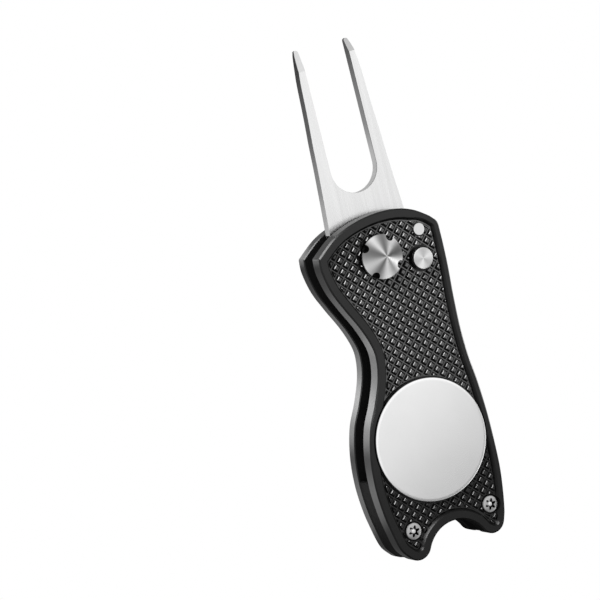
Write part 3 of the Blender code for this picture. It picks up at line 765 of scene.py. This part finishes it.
def make_stop_pin(material):
    rows = [(0, 0.25), (1.08, 0.25), (1.15, 0.25), (1.25, 0.35), (1.25, 9.65), (1.22, 9.72), (1.17, 9.75),
            (1.12, 9.75), (0, 9.75)]
    pin = add("stop_pin_body", turned(rows, 64), material)
    finish_piece(stand_at(pin, STOP_PIN), "handle", "bright_steel", "stop_pin")


def star(radius, turn=8, steps=96):
    """Six-lobed socket outline."""
    points = []
    for i in range(steps):
        angle = 2 * math.pi * i / steps
        reach = radius * (0.77 + 0.23 * math.cos(6 * angle))
        spin = angle + math.radians(turn)
        points.append((reach * math.cos(spin), reach * math.sin(spin)))
    return points


def make_screw(name, face, inward, head, socket, bright):
    """A pan head with a deep six-lobed socket; a bright button stands on the socket's floor."""
    def level(depth):
        return face + inward * depth

    rows = [(0, level(0.5)), (1.0, level(0.52)), (1.5, level(0.58)), (1.68, level(0.64)),
            (1.77, level(0.74)), (1.8, level(0.86)), (1.8, level(1.7)), (0.9, level(1.7)),
            (0.9, level(4.8)), (0, level(4.8))]
    screw = add(name, turned(rows, 64), head)
    for material in (socket, bright):
        screw.data.materials.append(material)
    combine(screw, [stack([
        (star(1.27), level(-0.5)), (star(1.23), level(0.6)), (star(1.2), level(1.45))])])
    # Painted shade: the socket's walls get the near-black material.
    for inside in screw.data.polygons:
        radius = math.hypot(inside.center.x, inside.center.y) / MM
        depth = (inside.center.z / MM - face) * inward
        if radius < 1.3 and 0.66 < depth < 1.6:
            inside.material_index = 1
    button = add("socket_button", turned([
        (0, level(0.70)), (0.4, level(0.74)), (0.62, level(0.9)), (0.66, level(1.5)),
        (0, level(1.5))], 32), bright)
    for outside in button.data.polygons:
        outside.material_index = 2
    join(screw, button)
    return screw


def make_screws(head, socket, bright):
    for side, centre in SCREWS.items():
        for place, face, inward in (("front", THICKNESS, -1), ("back", 0, 1)):
            screw = make_screw(f"{place}_torx_{side}", face, inward, head, socket, bright)
            finish_piece(stand_at(screw, centre), "handle", "bright_steel", f"{place}_screw_{side}")


def make_spacer(material):
    """The J-shaped layer between the scales, its edge a little inside theirs."""
    edge, sweep = shifted(handle_outline(), 0.15), 45.3
    outer = []
    for x, y in edge:
        past_tips = x < 0 and y < 0 and math.hypot(x, y) > sweep
        if (y > 0 and x > 11.6) or past_tips or (x > 0 and y < 0):
            outer.append((x, y))
    split = next(i for i, p in enumerate(outer) if p[0] < 0)
    ring = outer[split:] + outer[:split]
    wall = [(6.75, -30.0), (8.6, -7.8), (11.4, -6.0), (11.4, 4.8)]
    start = math.degrees(math.atan2(-math.sqrt(sweep ** 2 - 6.75 ** 2), 6.75))
    end = math.degrees(math.atan2(ring[0][1], ring[0][0]))
    outline = ring + list(reversed(wall)) + arc((0, 0), sweep, start, end, 48)[:-1]
    spacer = add("spacer_layer", prism(outline, BACK_INNER + 0.1, FRONT_INNER - 0.1), material)
    combine(spacer, [hole(centre, 1.72, 0, 10) for centre in SCREWS.values()])
    finish_piece(spacer, "handle", "black_spacer", "spine_spacer")


def dress_hidden_parts():
    """Materials on the CAD pieces that stay as they are."""
    looks = {
        "front_washer": tinted("bronze", (0.52, 0.34, 0.16), 0.4),
        "opening_spring": tinted("spring_wire", (0.38, 0.38, 0.40), 0.35),
        "marker_magnet": tinted("magnet_plate", (0.62, 0.61, 0.58), 0.25),
        "standoff_waist": satin("bright_sleeve", 0.66, 0.3),
    }
    same = {"back_washer": "front_washer", "standoff_spine": "standoff_waist"}
    for node in list(looks) + list(same):
        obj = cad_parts[node]
        material = looks[same.get(node, node)]
        obj.data.materials.clear()
        obj.data.materials.append(material)


# ---- Stage -------------------------------------------------------------------------------
FLOOR_BANDS = [                 # where along Y in millimetres, and how bright
    (-70, 0.2), (-58, 0.3), (-52, 1.2), (-47, 1.5), (-39, 0.8), (-33, 2.9), (-27, 5.0), (-21, 2.2),
    (-17, 1.0), (-12, 0.8), (-5, 0.45), (1, 0.35), (3.5, 2.0), (4.8, 1.6), (6.2, 0.5), (11, 0.45),
    (16, 0.3), (28, 0.13), (44, 0.05), (60, 0.05),
]
FLOOR_PEAK = 5


def make_floor():
    """White to the camera; to the tool, a light table with bands along Y.

    Right of the tool the table is dark under the end notch and brighter beside the fork.
    """
    n = Nodes(bpy.data.materials.new("floor"))
    where = n.node("ShaderNodeSeparateXYZ")
    n.link(n.node("ShaderNodeTexCoord").outputs["Object"], where.inputs[0])
    first, last = FLOOR_BANDS[0][0], FLOOR_BANDS[-1][0]
    along = n.ranged(where.outputs[1], first * MM, last * MM, 0, 1)
    ramp = n.node("ShaderNodeValToRGB")
    n.link(along, ramp.inputs["Fac"])
    ramp.color_ramp.interpolation = "EASE"
    stops = ramp.color_ramp.elements
    for y, _ in FLOOR_BANDS[1:-1]:
        stops.new((y - first) / (last - first))
    for stop, (_, level) in zip(stops, FLOOR_BANDS):
        stop.color = (*[level / FLOOR_PEAK] * 3, 1)
    seen = n.node("ShaderNodeLightPath").outputs["Is Camera Ray"]
    notch = n.ranged(where.outputs[1], -0.048, -0.044, -4.7, 0.0)
    blade = n.ranged(where.outputs[1], 0.010, 0.020, 0.0, 6.0)
    right = n.ranged(where.outputs[0], -0.002, 0.001, 0.0, 1.0)
    strength = n.math("ADD", FLOOR_PEAK, n.math("MULTIPLY", right, n.math("ADD", notch, blade)))
    glow = n.math("MULTIPLY", ramp.outputs["Color"], strength)
    rest = n.math("MULTIPLY", glow, n.math("SUBTRACT", 1.0, seen))
    n.set(colour=(0, 0, 0, 1), specular=0.0)
    n.shader.inputs["Emission Color"].default_value = (1, 1, 1, 1)
    n.link(n.math("ADD", rest, seen), n.shader.inputs["Emission Strength"])
    bm = bmesh.new()
    bmesh.ops.create_grid(bm, x_segments=1, y_segments=1, size=1500)
    floor = add("floor", bm, n.owner)
    floor.location.z = -0.0001


def area_light(name, direction, distance, width, height, radiance, target=(0.0, -10.0, 5.0)):
    """A soft box that looks at the tool; its brightness is the radiance of its face."""
    light = bpy.data.lights.new(name, "AREA")
    light.shape = "RECTANGLE"
    light.size, light.size_y = width, height
    light.energy = radiance * math.pi * width * height
    box = bpy.data.objects.new(name, light)
    bpy.context.collection.objects.link(box)
    aim = PIVOT + Vector(target) * MM
    out = Vector(direction).normalized()
    box.location = aim + out * distance
    box.rotation_euler = out.to_track_quat("Z", "Y").to_euler()
    box.visible_camera = False
    return box


def make_world():
    """White to the camera. To the tool: a wide soft glow in front, pale from above left.

    A dark band crosses the glow at the lower right, where the marker's shading comes from.
    """
    world = bpy.data.worlds.new("studio")
    bpy.context.scene.world = world
    n = Nodes(world)
    direction = n.node("ShaderNodeTexCoord").outputs["Generated"]

    def toward(vector):
        dot = n.node("ShaderNodeVectorMath", operation="DOT_PRODUCT")
        n.link(direction, dot.inputs[0])
        dot.inputs[1].default_value = vector
        return dot.outputs["Value"]

    glow = n.ranged(toward(Vector((0.38, -0.02, 0.92)).normalized()), 0.30, 0.92, 0.0, 1.0)
    side = toward((-0.45, 0.89, 0))
    fall = n.math("MAXIMUM", n.ranged(side, -0.46, -0.31, 0.05, 1.0),
                  n.ranged(side, -0.78, -0.60, 1.0, 0.0))
    front = n.math("MULTIPLY", n.math("MULTIPLY", glow, fall), 1.16)
    ambient = n.ranged(toward(Vector((-0.50, 0.75, 0.43)).normalized()), -0.6, 1.0, 0.11, 0.6)
    seen = n.node("ShaderNodeLightPath").outputs["Is Camera Ray"]
    light = n.math("MAXIMUM", front, ambient)
    light = n.math("MULTIPLY", light, n.math("SUBTRACT", 1.0, seen))
    background = n.tree.nodes["Background"]
    background.inputs["Color"].default_value = (1, 1, 1, 1)
    n.link(n.math("ADD", light, seen), background.inputs["Strength"])


def make_lights(plates):
    """A narrow strip that only picks out the black plates' edges, and a dim box on the right."""
    strip = area_light("upper_left_strip", (-0.50, 0.787, 0.30), 0.40, 0.30, 0.14, 15.0)
    receivers = bpy.data.collections.new("plates")
    for plate in plates:
        receivers.objects.link(plate)
    strip.light_linking.receiver_collection = receivers
    area_light("right_box", (0.78, -0.46, 0.42), 0.50, 0.30, 0.30, 1.2)


CAMERA_LENS = 148.811
CAMERA_PLACE = (-214.791, 51.785, 453.825)          # millimetres from the pivot
CAMERA_BACK = (-0.400323, 0.113383, 0.909333)       # unit vectors of the camera's own axes
CAMERA_UP = (0.270019, 0.962854, -0.001184)


def make_camera():
    camera = bpy.data.cameras.new("camera")
    camera.sensor_width = 36
    camera.lens = CAMERA_LENS
    camera.clip_start, camera.clip_end = 0.01, 10
    eye = bpy.data.objects.new("camera", camera)
    bpy.context.collection.objects.link(eye)
    back, up = Vector(CAMERA_BACK), Vector(CAMERA_UP)
    right = up.cross(back).normalized()
    turn = Matrix((right, up, back)).transposed().to_4x4()
    eye.matrix_world = Matrix.Translation(PIVOT + Vector(CAMERA_PLACE) * MM) @ turn
    bpy.context.scene.camera = eye


def main():
    knurled = (
        # The flanks' copy, with IOR 1.15, is painted shade on the pads' steep sides.
        black_knurl(), black_cut("black_edges", 1.8, 0.27), black_cut("black_flanks_painted_shade", 1.15, 0.45))
    plates = make_scales(black_anodised(), knurled)
    make_spacer(matte_black())
    make_fork(brushed_blade(), satin("ground_tip", 0.74, 0.3))
    # Near-black steel as painted shade in the pivot notches and the screw sockets.
    shadow = satin("painted_socket_shade", 0.03, 0.5, 0.01)
    # Painted highlight fans for the pivot head; the button's are listed in its own call.
    painted_fans = [(42, 13), (110, 12), (200, 18), (266, 15), (326, 13)]
    make_pivot(turned_head("turned_pivot", painted_fans, 0.98, 0.74), shadow)
    make_button(turned_head("turned_button", [(5, 26), (138, 26), (247, 24)], 0.9, 0.35))
    make_button_spring(tinted("button_wire", (0.38, 0.38, 0.40), 0.35))
    make_marker(satin("satin_marker", 0.87, 0.24))
    make_stop_pin(satin("pin_steel", 0.8, 0.4))
    make_screws(satin("screw_steel", 0.44, 0.34), shadow, satin("socket_floor", 0.85, 0.3))
    dress_hidden_parts()
    make_floor()
    make_world()
    make_lights(plates)
    make_camera()
    bpy.context.scene.view_settings.view_transform = "Standard"


main()
